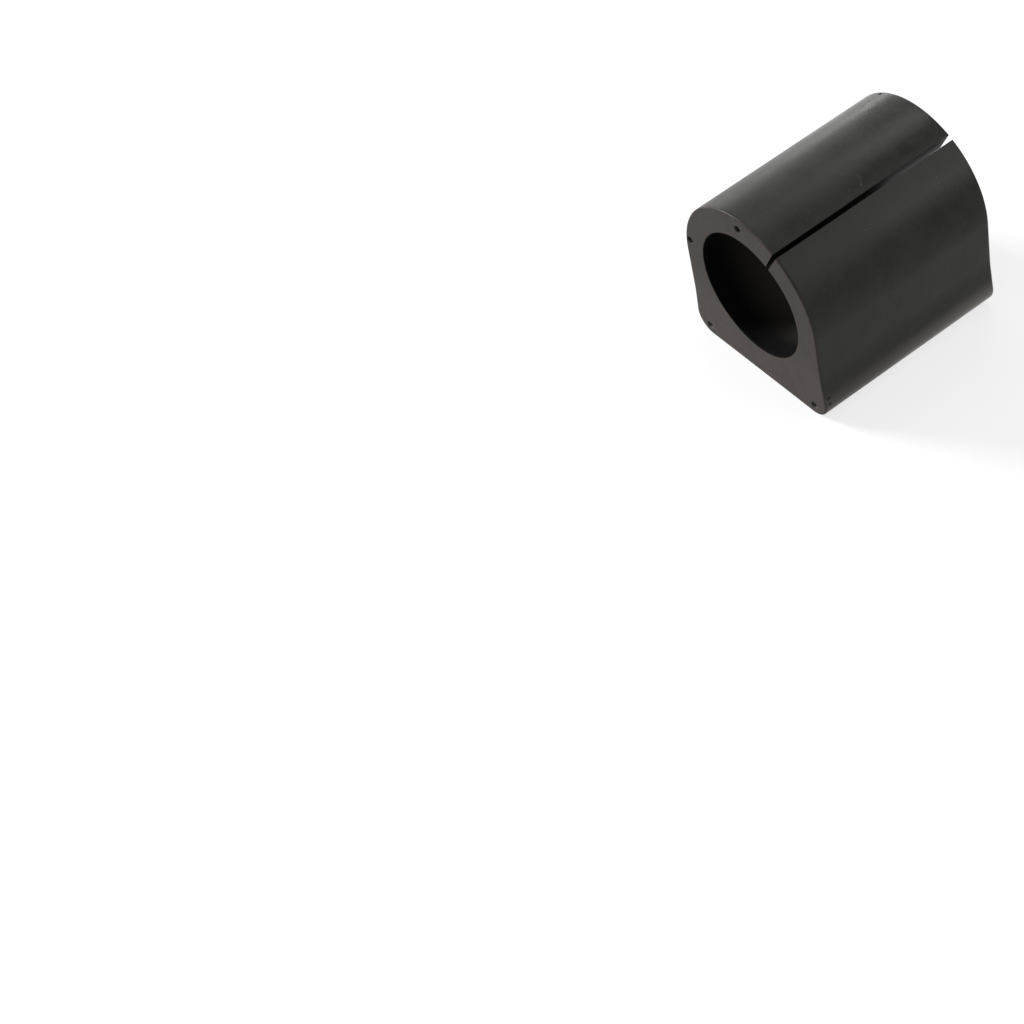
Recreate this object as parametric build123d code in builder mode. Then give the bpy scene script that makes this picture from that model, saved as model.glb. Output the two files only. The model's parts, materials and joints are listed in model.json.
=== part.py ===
from build123d import *
from math import atan, cos, degrees, radians, sin
import os

# Sway bar bushing: one moulded block of black rubber with a D-shaped outline.
# The bar lies in the round bore, a steel bracket wraps over the crown, and the flat base sits on
# the frame. A radial slit through one wall lets the bush open to go over the bar.
# Frame: the origin is the centre of the bore at half its length, +Y runs along the bore from the
# front end to the back end, and +Z points from the flat base to the crown. All sizes are in mm.

# Block
length = 47.5             # from end face to end face
bore_diameter = 30.0      # fits the bar
crown_radius = 20.9       # outside of the rounded top, which the bracket wraps
crown_rise = 0.4          # crown's centre above the bore's centre
base_drop = 23.1          # bore's centre down to the flat base
foot_height = 12.0        # base up to where the straight flanks start to spread
foot_spread = 0.9         # how far each flank has spread outwards by the base
foot_blend_radius = 40.0  # soft bend between flank and foot
corner_radius = 4.6       # long bottom corners
rim_radius = 0.4          # soft edge round each end face
mouth_radius = 0.25       # soft edge at each mouth of the bore

# Slit, cut with a blade after moulding, so its lips are sharp
slit_angle = 59.0         # degrees from +X up towards the crown
slit_front_gap = 1.05     # between the lips at the front end
slit_back_gap = 1.2       # between the lips at the back end, where the bush has sprung open more
slit_narrowing = 0.2      # how much closer the slit's walls stand at the bore than at the lips

# Dimples that the mould's pins left in the front end face
dimple_diameter = 1.7
dimple_depth = 1.0
dimple_taper = 15.0       # degrees that the wall leans in towards the floor
top_dimple_height = 18.4  # above the bore's centre
top_dimple_offset = 0.5   # towards -X
side_dimple_height = 3.8  # above the bore's centre
side_dimple_inset = 1.8   # in from the -X flank
base_dimple_height = 2.5  # above the base
base_dimple_spacing = 34.8

# Small vent pits in the +X flank, beside the front end
pit_diameter = 0.9
pit_depth = 0.4
pit_setback = 1.0         # behind the front end face
lower_pit_height = 4.9    # above the base
upper_pit_height = 6.8

# Vent pit in the crown, beside the back end
crown_pit_diameter = 0.76
crown_pit_angle = 117.0   # degrees from +X up towards the crown
crown_pit_setback = 0.95  # in front of the back end face

# Places that follow from the sizes
half_length = length / 2
bore_radius = bore_diameter / 2
crown_top = crown_rise + crown_radius
half_foot = crown_radius + foot_spread
foot_top = foot_height - base_drop
cut_overrun = 1.0         # how far a cut runs past the skin that it opens


def flank_at(height):
    """Distance of the foot's sloping flank from the middle, at a height above the base."""
    return half_foot - foot_spread * height / foot_height


def gap_between_lips(y):
    """The slit opens evenly from the front end to the back end."""
    return slit_front_gap + (slit_back_gap - slit_front_gap) * (y + half_length) / length


def ray_at(angle):
    """Direction square to the bore, at an angle in degrees from +X up towards the crown."""
    return Vector(cos(radians(angle)), 0, sin(radians(angle)))


with BuildPart() as bushing:
    # The D-shaped block
    with BuildSketch(Plane.XZ) as outline:
        with BuildLine():
            crown = CenterArc((0, crown_rise), crown_radius, 0, 90)
            flank = Line(crown @ 0, (crown_radius, foot_top))
            foot = Line(flank @ 1, (half_foot, -base_drop))
            Line(foot @ 1, (0, -base_drop))
            mirror(about=Plane.YZ)
        make_face()
        fillet(outline.vertices().filter_by_position(Axis.Y, foot_top, foot_top), foot_blend_radius)
        fillet(outline.vertices().group_by(Axis.Y)[0], corner_radius)
    extrude(amount=half_length, both=True)
    fillet(bushing.faces().filter_by(Axis.Y).edges(), rim_radius)

    # The bore for the bar
    with Locations(Plane.XZ):
        Hole(bore_radius)
    fillet(bushing.edges(Select.LAST).filter_by(GeomType.CIRCLE), mouth_radius)

    # The slit, cut down a ray from outside the crown until it is open to the bore. The cut runs
    # past the crown, the bore's wall and both end faces.
    start = crown_top + cut_overrun
    reach = half_length + cut_overrun
    slope = slit_narrowing / (crown_top - bore_radius)
    half_front = (gap_between_lips(-reach) + slope * cut_overrun) / 2
    half_back = (gap_between_lips(reach) + slope * cut_overrun) / 2
    ray = ray_at(slit_angle)
    with BuildSketch(Plane(origin=ray * start, x_dir=(0, 1, 0), z_dir=-ray)):
        with BuildLine():
            Polyline(
                (-reach, -half_front),
                (reach, -half_back),
                (reach, half_back),
                (-reach, half_front),
                close=True,
            )
        make_face()
    extrude(
        amount=start - bore_radius + cut_overrun,
        taper=degrees(atan(slope / 2)),
        mode=Mode.SUBTRACT,
    )

    # Dimples in the front end face
    half_spacing = base_dimple_spacing / 2
    base_dimple_z = base_dimple_height - base_drop
    with BuildSketch(Plane.XZ.offset(half_length)):
        with Locations(
            (-top_dimple_offset, top_dimple_height),
            (side_dimple_inset - crown_radius, side_dimple_height),
            (-half_spacing, base_dimple_z),
            (half_spacing, base_dimple_z),
        ):
            Circle(dimple_diameter / 2)
    extrude(amount=-dimple_depth, taper=dimple_taper, mode=Mode.SUBTRACT)

    # Vent pits in the flank, drilled from where the foot is widest
    pit_y = pit_setback - half_length
    with BuildSketch(Plane.YZ.offset(half_foot)):
        with Locations(
            (pit_y, lower_pit_height - base_drop),
            (pit_y, upper_pit_height - base_drop),
        ):
            Circle(pit_diameter / 2)
    extrude(amount=-(half_foot - flank_at(upper_pit_height) + pit_depth), mode=Mode.SUBTRACT)

    # Vent pit in the crown, drilled square to its skin
    pit_ray = ray_at(crown_pit_angle)
    crown_middle = Vector(0, half_length - crown_pit_setback, crown_rise)
    drill_start = crown_middle + pit_ray * (crown_radius + cut_overrun)
    with BuildSketch(Plane(origin=drill_start, z_dir=-pit_ray)):
        Circle(crown_pit_diameter / 2)
    extrude(amount=cut_overrun + pit_depth, mode=Mode.SUBTRACT)

bushing.part.label = "bushing"
os.makedirs("parts", exist_ok=True)
export_step(bushing.part, "parts/bushing.step")
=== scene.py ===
import json
from math import asin, atan2, ceil, cos, hypot, pi, radians, sin, sqrt, tan

import bmesh
import bpy
from mathutils import Matrix, Vector, noise
from mathutils.geometry import delaunay_2d_cdt


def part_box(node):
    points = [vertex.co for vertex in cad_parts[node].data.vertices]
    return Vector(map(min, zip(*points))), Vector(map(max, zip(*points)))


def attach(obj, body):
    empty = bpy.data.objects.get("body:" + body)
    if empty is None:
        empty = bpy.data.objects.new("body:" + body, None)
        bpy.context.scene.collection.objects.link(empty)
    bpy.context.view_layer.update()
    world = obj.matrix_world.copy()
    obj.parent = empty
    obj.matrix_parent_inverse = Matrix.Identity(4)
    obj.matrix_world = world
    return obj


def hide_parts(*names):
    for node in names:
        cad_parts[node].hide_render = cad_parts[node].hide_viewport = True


# Sway bar bushing: one moulded block of black rubber, modelled here as a fine skin that stands for
# the solid of the frame. Lengths are in metres, in the frame's own axes: +Y runs along the bore
# from the front end, +Z points from the flat base to the crown.

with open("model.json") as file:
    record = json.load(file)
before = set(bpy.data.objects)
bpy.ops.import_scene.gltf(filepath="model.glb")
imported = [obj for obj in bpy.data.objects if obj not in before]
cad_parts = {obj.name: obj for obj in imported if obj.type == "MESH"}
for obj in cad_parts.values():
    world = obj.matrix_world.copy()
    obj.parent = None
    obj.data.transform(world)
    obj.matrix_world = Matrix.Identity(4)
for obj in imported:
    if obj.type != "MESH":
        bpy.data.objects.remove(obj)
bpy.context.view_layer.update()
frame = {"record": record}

MM = 0.001

# Sizes that the frame gives
low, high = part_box("bushing")
mounts = {mount["name"]: mount for mount in frame["record"]["mounts"]}
bore_radius = mounts["bore"]["dims"]["r_mm"] * MM
half_length = high.y
base_z = low.z

# Outline
crown_radius = 20.9 * MM
crown_z = high.z - crown_radius
foot_height = 12.0 * MM       # base up to where the straight flanks start to spread
foot_spread = 0.9 * MM
foot_blend_radius = 40.0 * MM
corner_radius = 4.6 * MM
rim_radius = 0.4 * MM         # soft edge round each end face
mouth_radius = 0.25 * MM      # soft edge at each mouth of the bore

# Slit
slit_angle = radians(59)      # from +X up towards the crown
slit_front_gap = 1.05 * MM
slit_back_gap = 1.2 * MM      # the bush has sprung open towards the back end
slit_narrowing = 0.2 * MM     # from the lips to the bore
blade_wander = 0.02 * MM      # how far the blade strayed from a straight cut
blade_swing = 33.0 * MM       # length of one slow swing of the blade
blade_swings = (
    # share, quickness and start of each swing
    (1.0, 1.0, 0.9),
    (0.4, 2.7, 2.2),
)

# Dimples in the front end face, and small pits in the outside. A lip is the soft edge of a mouth.
dimple_radius = 0.82 * MM
dimple_depth = 1.0 * MM
dimple_taper = radians(15)
dimple_lip = 0.18 * MM
top_dimple = (-0.5 * MM, 18.4 * MM)
side_dimple = (1.8 * MM - crown_radius, 3.8 * MM)
base_dimple_height = 2.5 * MM
base_dimple_x = 17.4 * MM
pit_depth = 0.32 * MM
pit_taper = radians(8)
pit_lip = 0.13 * MM
flank_pit_radius = 0.42 * MM
flank_pit_setback = 1.0 * MM    # behind the front end face
flank_pit_heights = (4.9 * MM, 6.8 * MM)
crown_pit_radius = 0.36 * MM
crown_pit_angle = radians(117)
crown_pit_setback = 0.95 * MM   # in front of the back end face

# Unevenness of moulded rubber, always inwards from the true surface
broad_sink = 0.05 * MM
broad_size = 11.0 * MM
small_sink = 0.012 * MM
small_size = 2.2 * MM

# Fineness of the skin
around_step = 0.45 * MM
along_step = 0.7 * MM
wall_step = 0.5 * MM
pocket_step = 0.15 * MM
rim_steps = 4
lip_rings = 3
ring_points = 24              # points in each ring of a dimple or pit
patch_margin = 1.5 * MM       # from the middles of some pits to the edge of the patch round them
mouth_clearance = 1.25        # where a sheet's points start, from a pocket's middle, in mouth radii
border_clearance = 0.6        # how near a sheet's points come to its border, in steps
sharp_bend = radians(35)      # an edge that bends more than this looks sharp

# Slack for rounding
share_slack = 1e-6
length_slack = 1e-12
weld_distance = 1e-9

OUTSIDE, END_FACE, BORE, CUT = range(4)
INSIDE_ONLY = 1               # the triangulation's way to leave out what lies outside the border


def spread(start, end, step):
    """Evenly spaced values from start to end, both included, no further apart than step."""
    count = max(1, ceil(abs(end - start) / step - share_slack))
    return [start + (end - start) * i / count for i in range(count + 1)]


def arc(centre_x, centre_z, radius, start, end, bulge=1):
    """Points on an arc with their outward directions. A hollow arc has a bulge of -1."""
    angles = spread(start, end, around_step / radius)
    return [
        (
            Vector((centre_x + radius * cos(a), centre_z + radius * sin(a))),
            Vector((cos(a), sin(a))) * bulge,
        )
        for a in angles
    ]


def straight(start, end):
    """Points between two ends, both left out, with the direction to the left of the way."""
    way = end - start
    side = Vector((-way.y, way.x)).normalized()
    steps = spread(0, 1, around_step / way.length)[1:-1]
    return [(start + way * t, side) for t in steps]


def skirt():
    """The right half of the outline below the crown, from the crown's end to the base's middle."""
    lean = atan2(foot_spread, foot_height)
    blend_run = foot_blend_radius * tan(lean / 2)
    foot_top = base_z + foot_height
    blend_centre = Vector((crown_radius + foot_blend_radius, foot_top + blend_run))
    blend = arc(*blend_centre, foot_blend_radius, pi, pi + lean, bulge=-1)
    half_foot = crown_radius + foot_spread
    corner_run = corner_radius * tan((pi / 2 + lean) / 2)
    corner_centre = Vector((half_foot - corner_run, base_z + corner_radius))
    corner = arc(*corner_centre, corner_radius, lean, -pi / 2)
    flank = straight(Vector((crown_radius, crown_z)), blend[0][0])
    foot = straight(blend[-1][0], corner[0][0])
    base = straight(corner[-1][0], Vector((0, base_z)))
    middle = [(Vector((0, base_z)), Vector((0, -1)))]
    return flank + blend + foot + corner + base + middle


def gap_at(y):
    """The slit opens evenly from the front end to the back end."""
    share = (y + half_length) / (2 * half_length)
    return slit_front_gap + (slit_back_gap - slit_front_gap) * share


def wander_at(y):
    """How far the slit's middle strays sideways, as a hand-guided blade leaves it."""
    turn = 2 * pi * y / blade_swing
    return blade_wander * sum(
        share * sin(quickness * turn + start) for share, quickness, start in blade_swings
    )


def lip_angles(y, radius):
    """Angles, about the crown's centre, of the right and the left lip on a crown of that radius."""
    ray_offset = crown_z * cos(slit_angle)
    half = gap_at(y) / 2
    side = wander_at(y) - ray_offset
    return slit_angle + asin((side - half) / radius), slit_angle + asin((side + half) / radius)


def bore_angles(y, radius):
    """Angles, about the bore's centre, where the right and the left wall of the slit reach it."""
    half = (gap_at(y) - slit_narrowing) / 2
    side = wander_at(y)
    return slit_angle + asin((side - half) / radius), slit_angle + asin((side + half) / radius)


right_skirt = skirt()
left_skirt = [(Vector((-p.x, p.y)), Vector((-out.x, out.y))) for p, out in right_skirt[-2::-1]]
right_crown_count = ceil(crown_radius * slit_angle / around_step)
left_crown_count = ceil(crown_radius * (pi - slit_angle) / around_step)
bore_count = ceil(2 * pi * bore_radius / around_step)
wall_count = ceil((crown_radius - bore_radius) / wall_step)


def outer_line(y, inset):
    """The outside at y, from the right lip down round the base and up to the left lip."""
    radius = crown_radius - inset
    right_lip, left_lip = lip_angles(y, radius)
    centre = Vector((0, crown_z))

    def crown(angle):
        return centre + radius * Vector((cos(angle), sin(angle)))

    right = [crown(right_lip * (1 - i / right_crown_count)) for i in range(right_crown_count + 1)]
    left = [
        crown(pi + (left_lip - pi) * i / left_crown_count) for i in range(left_crown_count + 1)
    ]
    skirt_line = [p - out * inset for p, out in right_skirt + left_skirt]
    return right + skirt_line + left


def bore_line(y, inset):
    """The bore at y, from the left wall of the slit the long way round to the right wall."""
    radius = bore_radius + inset
    right, left = bore_angles(y, radius)
    angles = [left + (right + 2 * pi - left) * i / bore_count for i in range(bore_count + 1)]
    return [Vector((radius * cos(a), radius * sin(a))) for a in angles]


def wall_points(start, end):
    """Points of the slit's wall between two ends, both left out."""
    return [start.lerp(end, i / wall_count) for i in range(1, wall_count)]


def ring(outer_y, outer_inset, bore_y, bore_inset):
    """One closed loop of points round the whole section: outside, wall, bore and wall."""
    outer = [Vector((p.x, outer_y, p.y)) for p in outer_line(outer_y, outer_inset)]
    bore = [Vector((p.x, bore_y, p.y)) for p in bore_line(outer_y, bore_inset)]
    return outer + wall_points(outer[-1], bore[0]) + bore + wall_points(bore[-1], outer[0])


def stations():
    """What ring() takes for each ring: the rounded rim at each end, and even steps between them."""
    front_rim = []
    for i in range(rim_steps):
        t = pi / 2 * i / rim_steps
        setback = 1 - cos(t)
        inset = 1 - sin(t)
        front_rim.append(
            (
                rim_radius * setback - half_length,
                rim_radius * inset,
                mouth_radius * setback - half_length,
                mouth_radius * inset,
            )
        )
    outer_end = half_length - rim_radius
    bore_end = half_length - mouth_radius
    middle = [
        (y, 0, y * bore_end / outer_end, 0) for y in spread(-outer_end, outer_end, along_step)
    ]
    back_rim = [
        (-outer_y, outer_inset, -bore_y, bore_inset)
        for outer_y, outer_inset, bore_y, bore_inset in reversed(front_rim)
    ]
    return front_rim + middle + back_rim


rows = stations()

# Columns: the points of a ring, counted from the right lip. Those of the outside also have their
# way along the outline at half the length.
outline = outer_line(0, 0)
reach = [0.0]
for here, there in zip(outline, outline[1:]):
    reach.append(reach[-1] + (there - here).length)
first_bore_column = len(outline) + wall_count - 1
bore_columns = range(first_bore_column, first_bore_column + bore_count)


def circle(centre, radius):
    """Points of a circle in a flat sheet."""
    return [
        Vector((centre[0] + radius * cos(a), centre[1] + radius * sin(a)))
        for a in (2 * pi * i / ring_points for i in range(ring_points))
    ]


def pocket(radius, depth, taper, lip):
    """Radius and depth of each ring of a small tapered pocket with a soft mouth and floor."""
    rounds = [pi / 2 * i / lip_rings for i in range(lip_rings + 1)]
    mouth = [(radius + lip * (1 - sin(t)), lip * (1 - cos(t))) for t in rounds]
    floor_radius = radius - (depth - 2 * lip) * tan(taper)
    wall_depths = spread(lip, depth - lip, pocket_step)[1:-1]
    wall = [(radius - (d - lip) * tan(taper), d) for d in wall_depths]
    floor = [(floor_radius - lip * (1 - cos(t)), depth - lip * (1 - sin(t))) for t in rounds]
    return mouth + wall + floor


def sink_pocket(bm, centre, rings, mouth, place, material):
    """Hangs a pocket's rings from its mouth. Its lip takes the material of the sheet around it."""
    last = mouth
    for radius, depth in rings[1:]:
        new = [bm.verts.new(place(p.x, p.y, depth)) for p in circle(centre, radius)]
        on_lip = depth <= rings[lip_rings][1]
        for i in range(ring_points):
            face = bm.faces.new([last[i - 1], last[i], new[i], new[i - 1]])
            face.material_index = material if on_lip else OUTSIDE
        last = new
    middle = bm.verts.new(place(*centre, rings[-1][1]))
    for i in range(ring_points):
        bm.faces.new([last[i - 1], last[i], middle]).material_index = OUTSIDE


def cover(bm, border, pockets, inner, place, material):
    """Closes a sheet inside a border of (point, vertex) pairs with triangles, and sinks its pockets.

    place(u, v, depth) gives a spot in space. Inner points that are too near a pocket are left out,
    and so are the triangles inside a mouth, which have all their corners on it."""
    points = [point for point, _ in border]
    verts = [vert for _, vert in border]
    loops = [list(range(len(points)))]
    mouths = []
    for centre, rings in pockets:
        first = len(points)
        mouth = circle(centre, rings[0][0])
        mouths.append([bm.verts.new(place(p.x, p.y, 0)) for p in mouth])
        points += mouth
        verts += mouths[-1]
        loops.append(list(range(first, len(points))))
    for p in inner:
        if all(hypot(p.x - c[0], p.y - c[1]) > r[0][0] * mouth_clearance for c, r in pockets):
            points.append(p)
            verts.append(bm.verts.new(place(p.x, p.y, 0)))
    edges = [(loop[i - 1], loop[i]) for loop in loops for i in range(len(loop))]
    _, _, triangles, origins, _, _ = delaunay_2d_cdt(
        points, edges, loops[:1], INSIDE_ONLY, weld_distance
    )
    for triangle in triangles:
        corners = [origins[i][0] for i in triangle]
        if not any(set(corners) <= set(loop) for loop in loops[1:]):
            bm.faces.new([verts[i] for i in corners]).material_index = material
    for (centre, rings), mouth in zip(pockets, mouths):
        sink_pocket(bm, centre, rings, mouth, place, material)


def fill_points(border, step):
    """An even field of points inside a closed border, none of them close to it."""
    corners = [point for point, _ in border]
    xs = [p.x for p in corners]
    zs = [p.y for p in corners]
    levels = spread(min(zs), max(zs), step * sqrt(3) / 2)
    field = []
    for k, z in enumerate(levels):
        crossings = []
        for a, b in zip(corners, corners[1:] + corners[:1]):
            if (a.y > z) != (b.y > z):
                crossings.append(a.x + (b.x - a.x) * (z - a.y) / (b.y - a.y))
        near = [p for p in corners if abs(p.y - z) < step]
        for x in spread(min(xs) + step * (k % 2) / 2, max(xs), step):
            inside = sum(c < x for c in crossings) % 2 == 1
            if inside and all(hypot(p.x - x, p.y - z) > step * border_clearance for p in near):
                field.append(Vector((x, z)))
    return field


def skin_place(way, y, depth):
    """A spot on the outside, by its way along the outline and its y, sunk by some depth."""
    i = max(k for k in range(len(outline) - 1) if reach[k] <= way + length_slack)
    t = (way - reach[i]) / (reach[i + 1] - reach[i])
    p = outline[i].lerp(outline[i + 1], t)
    along = (outline[i + 1] - outline[i]).normalized()
    p = p + Vector((along.y, -along.x)) * depth
    return Vector((p.x, y, p.y))


def flank_pit_spots():
    """Way along the outline and y of each pit in the right flank, on the column nearest to it."""
    right_flank = [i for i, p in enumerate(outline) if p.x > 0 and p.y < 0]
    spots = []
    for height in flank_pit_heights:
        column = min(right_flank, key=lambda i: abs(outline[i].y - base_z - height))
        spots.append((reach[column], flank_pit_setback - half_length))
    return spots


def crown_pit_spots():
    """Way along the outline and y of the pit in the crown, on the column nearest to it."""
    angles = [atan2(p.y - crown_z, p.x) for p in outline]
    column = min(range(len(outline)), key=lambda i: abs(angles[i] - crown_pit_angle))
    return [(reach[column], half_length - crown_pit_setback)]


def block_around(spots):
    """First and last column, then first and last row, of the patch round some pits."""
    ways = [way for way, _ in spots]
    ys = [y for _, y in spots]
    columns = [
        i
        for i in range(len(outline))
        if min(ways) - patch_margin < reach[i] < max(ways) + patch_margin
    ]
    lines = [
        j
        for j in range(rim_steps, len(rows) - rim_steps)
        if min(ys) - patch_margin < rows[j][0] < max(ys) + patch_margin
    ]
    return columns[0], columns[-1], lines[0], lines[-1]


def add_quads(bm, grid, blocks):
    """Quads between the rings, apart from the blocks that patches take up."""
    count = len(grid[0])
    for j in range(len(rows) - 1):
        # The last strip of the rim, next to the outside, looks like the outside
        on_rim = j < rim_steps - 1 or j > len(rows) - 1 - rim_steps
        for i in range(count):
            if any(left <= i < right and front <= j < back for left, right, front, back in blocks):
                continue
            after = (i + 1) % count
            face = bm.faces.new([grid[j][i], grid[j][after], grid[j + 1][after], grid[j + 1][i]])
            if i in bore_columns:
                face.material_index = BORE
            elif i >= len(outline) - 1:
                face.material_index = CUT
            elif on_rim:
                face.material_index = END_FACE


def add_patch(bm, grid, spots, rings, block):
    """Fills a block of the outside with a sheet that has pits at the spots."""
    left, right, front, back = block
    path = [(i, front) for i in range(left, right)]
    path += [(right, j) for j in range(front, back)]
    path += [(i, back) for i in range(right, left, -1)]
    path += [(left, j) for j in range(back, front, -1)]
    border = [(Vector((reach[i], rows[j][0])), grid[j][i]) for i, j in path]
    field = [(i, j) for i in range(left + 1, right) for j in range(front + 1, back)]
    inner = [Vector((reach[i], rows[j][0])) for i, j in field]
    for i, j in field:
        bm.verts.remove(grid[j][i])
    cover(bm, border, [(spot, rings) for spot in spots], inner, skin_place, OUTSIDE)


def add_end(bm, verts, face_y, into, pockets):
    """Closes one end inside its outermost ring. into is 1 where a pocket sinks towards +Y."""
    border = [(Vector((vert.co.x, vert.co.z)), vert) for vert in verts]

    def place(x, z, depth):
        return Vector((x, face_y + into * depth, z))

    cover(bm, border, pockets, fill_points(border, around_step), place, END_FACE)


def dimples():
    """The four dimples in the front end face: the middle and the rings of each."""
    base_dimple_z = base_z + base_dimple_height
    left_dimple = (-base_dimple_x, base_dimple_z)
    right_dimple = (base_dimple_x, base_dimple_z)
    rings = pocket(dimple_radius, dimple_depth, dimple_taper, dimple_lip)
    return [(spot, rings) for spot in (top_dimple, side_dimple, left_dimple, right_dimple)]


def build_skin():
    """The whole skin: rings of quads along the length, and a field of triangles over each end."""
    bm = bmesh.new()
    grid = [[bm.verts.new(p) for p in ring(*row)] for row in rows]
    patches = [
        (spots, pocket(radius, pit_depth, pit_taper, pit_lip), block_around(spots))
        for spots, radius in (
            (flank_pit_spots(), flank_pit_radius),
            (crown_pit_spots(), crown_pit_radius),
        )
    ]
    add_quads(bm, grid, [block for _, _, block in patches])
    for spots, rings, block in patches:
        add_patch(bm, grid, spots, rings, block)
    add_end(bm, grid[0], -half_length, 1, dimples())
    add_end(bm, grid[-1], half_length, -1, [])
    bmesh.ops.recalc_face_normals(bm, faces=bm.faces)
    return bm


def hills(p, size):
    """Smooth noise from 0 to 1 whose hills are about as wide as size."""
    return 0.5 + 0.5 * noise.noise(p / size)


def unevenness(p):
    """How far moulded rubber lies in from its true surface at a point."""
    return broad_sink * hills(p, broad_size) + small_sink * hills(p, small_size)


def make_bushing(materials):
    """The bushing as one mesh, with its slight unevenness and its sharp cut edges."""
    bm = build_skin()
    bm.normal_update()
    moves = [(vert, vert.normal * unevenness(vert.co)) for vert in bm.verts]
    for vert, move in moves:
        vert.co -= move
    for edge in bm.edges:
        edge.smooth = edge.calc_face_angle(0) < sharp_bend
    for face in bm.faces:
        face.smooth = True
    mesh = bpy.data.meshes.new("bushing_skin")
    bm.to_mesh(mesh)
    bm.free()
    for material in materials:
        mesh.materials.append(material)
    piece = bpy.data.objects.new("bushing_skin", mesh)
    bpy.context.scene.collection.objects.link(piece)
    return piece


class Nodes:
    """Short ways to add and link the nodes of one material, which is called n from here on."""

    def __init__(self, name):
        self.material = bpy.data.materials.new(name)
        self.material.use_nodes = True
        self.tree = self.material.node_tree
        self.tree.nodes.clear()
        coordinates = self.tree.nodes.new("ShaderNodeTexCoord")
        self.place = coordinates.outputs["Object"]

    def add(self, kind, **settings):
        node = self.tree.nodes.new(kind)
        for name, value in settings.items():
            setattr(node, name, value)
        return node

    def plug(self, socket, value):
        """Links a socket to another node's output, or sets it to a plain value."""
        if isinstance(value, bpy.types.NodeSocket):
            self.tree.links.new(value, socket)
        else:
            socket.default_value = value

    def maths(self, operation, *values):
        node = self.add("ShaderNodeMath", operation=operation)
        for socket, value in zip(node.inputs, values):
            self.plug(socket, value)
        return node.outputs[0]

    def axis(self, name):
        """One coordinate of the place on the skin."""
        axes = self.add("ShaderNodeSeparateXYZ")
        self.plug(axes.inputs[0], self.place)
        return axes.outputs[name]

    def stretched(self, scale):
        """The place on the skin, scaled along each axis."""
        node = self.add("ShaderNodeMapping")
        self.plug(node.inputs["Vector"], self.place)
        node.inputs["Scale"].default_value = scale
        return node.outputs[0]

    def distance(self, place, middle):
        node = self.add("ShaderNodeVectorMath", operation="DISTANCE")
        self.plug(node.inputs[0], place)
        node.inputs[1].default_value = middle
        return node.outputs["Value"]

    def noise(self, size, detail, rough, place=None):
        """Noise whose blobs are about as large as size, in metres."""
        node = self.add("ShaderNodeTexNoise")
        self.plug(node.inputs["Vector"], place or self.place)
        node.inputs["Scale"].default_value = 1 / size
        node.inputs["Detail"].default_value = detail
        node.inputs["Roughness"].default_value = rough
        return node.outputs["Fac"]

    def between(self, value, start, end, low=0.0, high=1.0):
        """Low below start, high above end, and a smooth change from one to the other."""
        node = self.add("ShaderNodeMapRange", interpolation_type="SMOOTHSTEP")
        limits = {"From Min": start, "From Max": end, "To Min": low, "To Max": high}
        for name, number in limits.items():
            node.inputs[name].default_value = number
        self.plug(node.inputs["Value"], value)
        return node.outputs["Result"]

    def blend(self, amount, first, second):
        """The first colour where amount is 0 and the second where it is 1."""
        node = self.add("ShaderNodeMix", data_type="RGBA")
        self.plug(node.inputs["Factor"], amount)
        # A mix node has its sockets once for each kind of data, so the colours go by number
        self.plug(node.inputs[6], first)
        self.plug(node.inputs[7], second)
        return node.outputs[2]

    def bump(self, height, distance, strength, normal=None):
        node = self.add("ShaderNodeBump")
        node.inputs["Strength"].default_value = strength
        node.inputs["Distance"].default_value = distance
        self.plug(node.inputs["Height"], height)
        if normal:
            self.plug(node.inputs["Normal"], normal)
        return node.outputs["Normal"]

    def finish(self, shader):
        """Sends a shader to the material's output and gives the material."""
        out = self.add("ShaderNodeOutputMaterial")
        self.plug(out.inputs["Surface"], shader.outputs[0])
        return self.material


def shade(level, red=1.0, blue=1.0):
    """A grey as a linear colour, tinted by how much red and blue it has beside its green."""
    return (level * red, level, level * blue, 1)


# Patterns of the rubber: the size of the blobs, then the detail and the roughness of the noise
cloud_noise = (9.0 * MM, 4, 0.5)
smudge_noise = (2.6 * MM, 3, 0.6)
mottle_noise = (0.8 * MM, 2, 0.6)
flow_noise = (1.1 * MM, 3, 0.6)
grain_noise = (0.16 * MM, 2, 0.6)
flow_stretch = (1, 0.12, 1)   # flow marks are drawn out along the bore

# Bloom, the dusty film on rubber, made up of clouds, smudges and mottle
cloud_share = 0.5
smudge_share = 0.3
mottle_share = 0.2
bloom_range = (0.36, 0.66)    # from where it starts to show to where it is full
streak_range = (0.58, 0.78)   # likewise for the flow marks
streak_strength = 0.35

# Pale specks
speck_spacing = 1.3 * MM
speck_core = 0.07             # radius that is fully pale, in spacings
speck_edge = 0.13
speck_strength = 0.5
speck_colour = shade(0.12, 1.04, 0.96)

# Relief: depth and strength of each bump
smudge_bump = (0.05 * MM, 0.5)
grain_bump = (0.012 * MM, 0.6)

# Dullness: the span of a noise, and how much it changes the roughness from one end to the other
bloom_dulling = (0.3, 0.7, -0.05, 0.07)
grain_dulling = (0.3, 0.7, -0.04, 0.04)
velvet_roughness = 0.3

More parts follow.
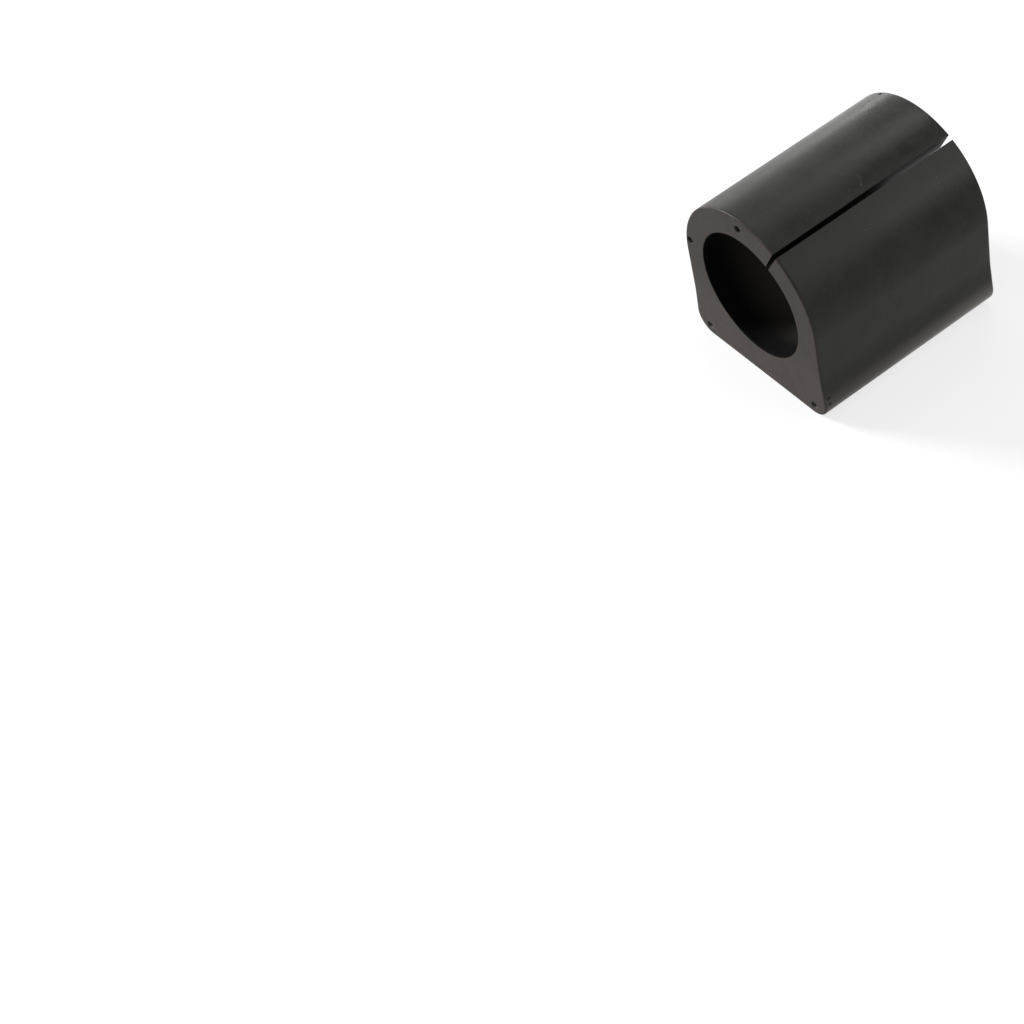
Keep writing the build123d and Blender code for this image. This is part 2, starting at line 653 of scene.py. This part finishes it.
# Faint marks in the outside: a bent scratch, and spots that something pale has rubbed
# This pale colour also paints the reflection along the bottom edges and the light deep in the bore
mark_and_painted_light_colour = shade(0.15, 1.08, 0.9)
scratch_centre = (6.5 * MM, -1.57 * MM, 0)   # of its bend, seen from above
scratch_bend = 3.66 * MM
scratch_middle = (7.87 * MM, 1.82 * MM, 19.76 * MM)
scratch_length = 2.6 * MM
scratch_width = 0.2 * MM
scratch_core = 0.3            # share of the width that is fully pale
scratch_strength = 0.125
spot_core = 0.5               # share of the radius that is fully pale
spot_edge = 1.3
rubbed_spots = (
    # middle, radius and strength
    ((8.92 * MM, 1.18 * MM, 19.3 * MM), 0.28 * MM, 0.17),
    ((8.48 * MM, -1.72 * MM, 19.5 * MM), 0.3 * MM, 0.085),
    ((14.94 * MM, 15.76 * MM, 15.01 * MM), 0.22 * MM, 0.18),
    ((20.9 * MM, -19.59 * MM, 6.67 * MM), 0.35 * MM, 0.14),
    ((20.9 * MM, -18.43 * MM, 5.78 * MM), 0.35 * MM, 0.115),
)

# Painted reflection along the long bottom edges: their rounded corners are drawn paler
full_reflection_height = 3.0 * MM   # above the base
no_reflection_height = 8.6 * MM
front_reflection = 0.45
back_reflection = 1.1

# Painted light in the bore, paler deeper in from the front end
bore_light_start = 3.0 * MM        # behind the front end face
bore_light_full = 16.0 * MM
bore_light_strength = 0.4


def spot(n, middle, radius):
    """1 inside a small round spot of the skin and 0 away from it, with a soft edge."""
    return n.between(n.distance(n.place, middle), radius * spot_core, radius * spot_edge, 1, 0)


def scratch(n):
    """1 along a short, bent scratch in the crown, seen from above, and 0 away from it."""
    from_centre = n.distance(n.stretched((1, 1, 0)), scratch_centre)
    off_line = n.maths("ABSOLUTE", n.maths("SUBTRACT", from_centre, scratch_bend))
    line = n.between(off_line, scratch_width * scratch_core, scratch_width, 1, 0)
    return n.maths("MULTIPLY", line, spot(n, scratch_middle, scratch_length / 2))


def painted_edge_reflection(n):
    """Painted reflection along the long bottom edges, stronger towards the back end."""
    near_base = n.between(n.axis("Z"), base_z + full_reflection_height, base_z + no_reflection_height, 1, 0)
    near_back = n.between(n.axis("Y"), -half_length, half_length, front_reflection, back_reflection)
    return n.maths("MULTIPLY", near_base, near_back)


def bore_painted_light(n):
    """Painted light that makes the bore paler deeper in from the front end."""
    return n.between(
        n.axis("Y"), bore_light_start - half_length, bore_light_full - half_length, 0, bore_light_strength
    )


def marks_and_edge_reflection(n):
    """The painted edge reflection, the scratch and the rubbed spots that show on the outside."""
    marks_and_painted_light = n.maths("MAXIMUM", painted_edge_reflection(n), n.maths("MULTIPLY", scratch(n), scratch_strength))
    for middle, radius, strength in rubbed_spots:
        mark = n.maths("MULTIPLY", spot(n, middle, radius), strength)
        marks_and_painted_light = n.maths("MAXIMUM", marks_and_painted_light, mark)
    return marks_and_painted_light


def specks(n, share):
    """The strength of pale specks, in a share of the cells of an uneven net."""
    cells = n.add("ShaderNodeTexVoronoi", feature="F1")
    n.plug(cells.inputs["Vector"], n.place)
    cells.inputs["Scale"].default_value = 1 / speck_spacing
    chosen = n.maths("GREATER_THAN", cells.outputs["Color"], 1 - share)
    dot = n.between(cells.outputs["Distance"], speck_core, speck_edge, 1, 0)
    return n.maths("MULTIPLY", n.maths("MULTIPLY", chosen, dot), speck_strength)


def rubber(
    name, dark, dusty, shine, roughness, velvet=0.0, settled=0.0, speck_share=0.0, marks_and_painted_light=None
):
    """Moulded black rubber: cloudy bloom, fine grain, a few pale specks and faint flow marks.

    roughness is given at the front and at the back end. velvet is the strength of the sheen that
    fine dust gives. settled is the share of dust at the base. marks(n) gives where the rubber is
    marked, or where light is painted into its colour."""
    n = Nodes(name)
    clouds = n.noise(*cloud_noise)
    smudges = n.noise(*smudge_noise)
    mottle = n.noise(*mottle_noise)
    flow = n.noise(*flow_noise, n.stretched(flow_stretch))
    grain = n.noise(*grain_noise)

    bloom = n.maths(
        "ADD", n.maths("MULTIPLY", clouds, cloud_share), n.maths("MULTIPLY", smudges, smudge_share)
    )
    bloom = n.maths("ADD", bloom, n.maths("MULTIPLY", mottle, mottle_share))
    dust = n.between(bloom, *bloom_range)
    if settled:
        dust = n.maths("ADD", dust, n.between(n.axis("Z"), base_z, 0, settled, 0))
    colour = n.blend(dust, dark, dusty)
    colour = n.blend(n.between(flow, *streak_range, 0, streak_strength), colour, dusty)
    colour = n.blend(specks(n, speck_share), colour, speck_colour)
    if marks_and_painted_light:
        # Blends in the marks, and the painted light of the bottom edges or of the deep bore
        colour = n.blend(marks_and_painted_light(n), colour, mark_and_painted_light_colour)

    shader = n.add("ShaderNodeBsdfPrincipled")
    shader.inputs["Specular IOR Level"].default_value = shine
    shader.inputs["Sheen Weight"].default_value = velvet
    shader.inputs["Sheen Roughness"].default_value = velvet_roughness
    n.plug(shader.inputs["Base Color"], colour)
    dull = n.between(n.axis("Y"), -half_length, half_length, *roughness)
    dull = n.maths("ADD", dull, n.between(bloom, *bloom_dulling))
    dull = n.maths("ADD", dull, n.between(grain, *grain_dulling))
    n.plug(shader.inputs["Roughness"], dull)
    normal = n.bump(smudges, *smudge_bump)
    normal = n.bump(grain, *grain_bump, normal)
    n.plug(shader.inputs["Normal"], normal)
    return n.finish(shader)


def outside_rubber():
    """The crown, flanks and base: a satin skin that gets shinier towards the back end."""
    return rubber(
        "moulded_rubber",
        dark=shade(0.005, 1.04, 0.78),
        dusty=shade(0.014, 1.04, 0.78),
        shine=0.19,
        roughness=(0.42, 0.26),
        velvet=0.12,
        speck_share=0.1,
        # Real marks, and a painted reflection along the bottom edges
        marks_and_painted_light=marks_and_edge_reflection,
    )


def end_face_rubber():
    """The end faces: duller and browner, with dust that has settled towards the base."""
    return rubber(
        "end_face_rubber",
        dark=shade(0.0145, 1.28, 0.89),
        dusty=shade(0.033, 1.28, 0.89),
        shine=0.14,
        roughness=(0.5, 0.5),
        settled=1.2,
        speck_share=0.03,
    )


def bore_rubber():
    """The bore: matt, painted darker than the outside as shade, with painted light deeper in."""
    return rubber(
        "bore_rubber",
        # Painted shade: a darker colour than the same rubber outside
        dark=shade(0.0025),
        dusty=shade(0.005),
        shine=0.02,
        roughness=(0.7, 0.7),
        speck_share=0.02,
        # Painted light, paler deeper in the bore
        marks_and_painted_light=bore_painted_light,
    )


def cut_rubber():
    """Rubber that a blade has cut: even, dull and free of bloom."""
    n = Nodes("cut_rubber")
    shader = n.add("ShaderNodeBsdfPrincipled")
    shader.inputs["Base Color"].default_value = shade(0.007)
    shader.inputs["Specular IOR Level"].default_value = 0.05
    shader.inputs["Roughness"].default_value = 0.48
    return n.finish(shader)


# View: where the camera stands, seen from the middle of the bushing, and where that middle
# stands in the picture
view_azimuth = radians(53.5)  # from straight in front round towards +X
view_elevation = radians(42.8)
view_roll = radians(-7.5)
view_distance = 0.471
lens = 77.0                   # focal length in mm, like the sensor's width
sensor = 36.0
picture_size = 1024
picture_spot = (836, 237)


def sight_line():
    """The direction from the bushing to the camera."""
    flat = cos(view_elevation)
    return Vector((sin(view_azimuth) * flat, -cos(view_azimuth) * flat, sin(view_elevation)))


def place_camera():
    """A camera on the sight line, rolled, and turned aside so that the bushing is off centre."""
    data = bpy.data.cameras.new("camera")
    data.lens = lens
    data.sensor_width = sensor
    camera = bpy.data.objects.new("camera", data)
    bpy.context.scene.collection.objects.link(camera)
    back = sight_line()
    right = Vector((0, 0, 1)).cross(back).normalized()
    up = back.cross(right)
    square_on = Matrix((right, up, back)).transposed() @ Matrix.Rotation(view_roll, 3, "Z")
    focal = lens / sensor * picture_size
    centre = picture_size / 2
    ray = Vector(((picture_spot[0] - centre) / focal, (centre - picture_spot[1]) / focal, -1))
    aside = ray.rotation_difference(Vector((0, 0, -1))).to_matrix()
    turn = square_on @ aside
    camera.matrix_world = Matrix.Translation(back * view_distance) @ turn.to_4x4()
    bpy.context.scene.camera = camera


# Floor and surroundings
floor_radius = 3.0
floor_sides = 96
floor_colour = 0.26
floor_lift = 0.72             # its own light, for rays that see it directly
surroundings_light = 0.45     # what they throw on surfaces
surroundings_seen = 1.0       # how bright they are where they are seen


def seen_directly(tree):
    """1 for rays from the camera, a mirror or glass, and 0 for the rest."""
    path = tree.nodes.new("ShaderNodeLightPath")
    total = path.outputs["Is Camera Ray"]
    for kind in ("Is Glossy Ray", "Is Transmission Ray"):
        either = tree.nodes.new("ShaderNodeMath")
        either.operation = "MAXIMUM"
        tree.links.new(total, either.inputs[0])
        tree.links.new(path.outputs[kind], either.inputs[1])
        total = either.outputs[0]
    return total


def pale_floor():
    """A matt grey that shines by itself where it is seen, so that it shows white."""
    n = Nodes("pale_floor")
    paint = n.add("ShaderNodeBsdfDiffuse")
    paint.inputs["Color"].default_value = shade(floor_colour)
    lift = n.add("ShaderNodeEmission")
    n.plug(lift.inputs["Strength"], n.maths("MULTIPLY", seen_directly(n.tree), floor_lift))
    both = n.add("ShaderNodeAddShader")
    n.plug(both.inputs[0], paint.outputs[0])
    n.plug(both.inputs[1], lift.outputs[0])
    return n.finish(both)


def make_floor():
    """A pale round floor that keeps the shadow, and shows white where nothing shades it."""
    angles = [2 * pi * i / floor_sides for i in range(floor_sides)]
    rim = [(floor_radius * cos(a), floor_radius * sin(a), base_z) for a in angles]
    mesh = bpy.data.meshes.new("floor")
    mesh.from_pydata(rim, [], [range(floor_sides)])
    mesh.materials.append(pale_floor())
    floor = bpy.data.objects.new("floor", mesh)
    bpy.context.scene.collection.objects.link(floor)


def make_world():
    """Even white surroundings: plain light on surfaces, white where they are seen."""
    world = bpy.data.worlds.new("studio")
    bpy.context.scene.world = world
    world.use_nodes = True
    tree = world.node_tree
    background = tree.nodes["Background"]
    background.inputs["Color"].default_value = (1, 1, 1, 1)
    strength = tree.nodes.new("ShaderNodeMapRange")
    tree.links.new(seen_directly(tree), strength.inputs["Value"])
    strength.inputs["To Min"].default_value = surroundings_light
    strength.inputs["To Max"].default_value = surroundings_seen
    tree.links.new(strength.outputs[0], background.inputs["Strength"])


softboxes = (
    # name, place, width, height and power
    ("left", (-0.97, -0.50, 0.50), 0.35, 0.35, 23.0),
    ("back", (-0.52, 0.40, 0.62), 0.60, 0.90, 0.55),
    ("back_low", (-1.06, 0.53, 0.08), 0.50, 0.12, 0.84),
    ("top", (-0.32, 0.42, 0.79), 0.35, 0.30, 0.82),
    ("right", (0.54, 0.40, 0.60), 0.60, 0.65, 1.95),
    ("right_low", (0.80, 0.44, 0.38), 0.35, 0.35, 0.38),
)


def add_softbox(name, place, width, height, power):
    """A soft rectangular lamp that faces the bushing."""
    data = bpy.data.lights.new("softbox_" + name, "AREA")
    data.shape = "RECTANGLE"
    data.size = width
    data.size_y = height
    data.energy = power
    lamp = bpy.data.objects.new("softbox_" + name, data)
    bpy.context.scene.collection.objects.link(lamp)
    lamp.location = place
    lamp.rotation_euler = Vector(place).to_track_quat("Z", "Y").to_euler()


place_camera()
make_world()
make_floor()
for softbox in softboxes:
    add_softbox(*softbox)

# The materials stand in the order of OUTSIDE, END_FACE, BORE and CUT
bushing = make_bushing([outside_rubber(), end_face_rubber(), bore_rubber(), cut_rubber()])
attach(bushing, "root")
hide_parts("bushing")

bpy.context.scene.view_settings.view_transform = "Standard"
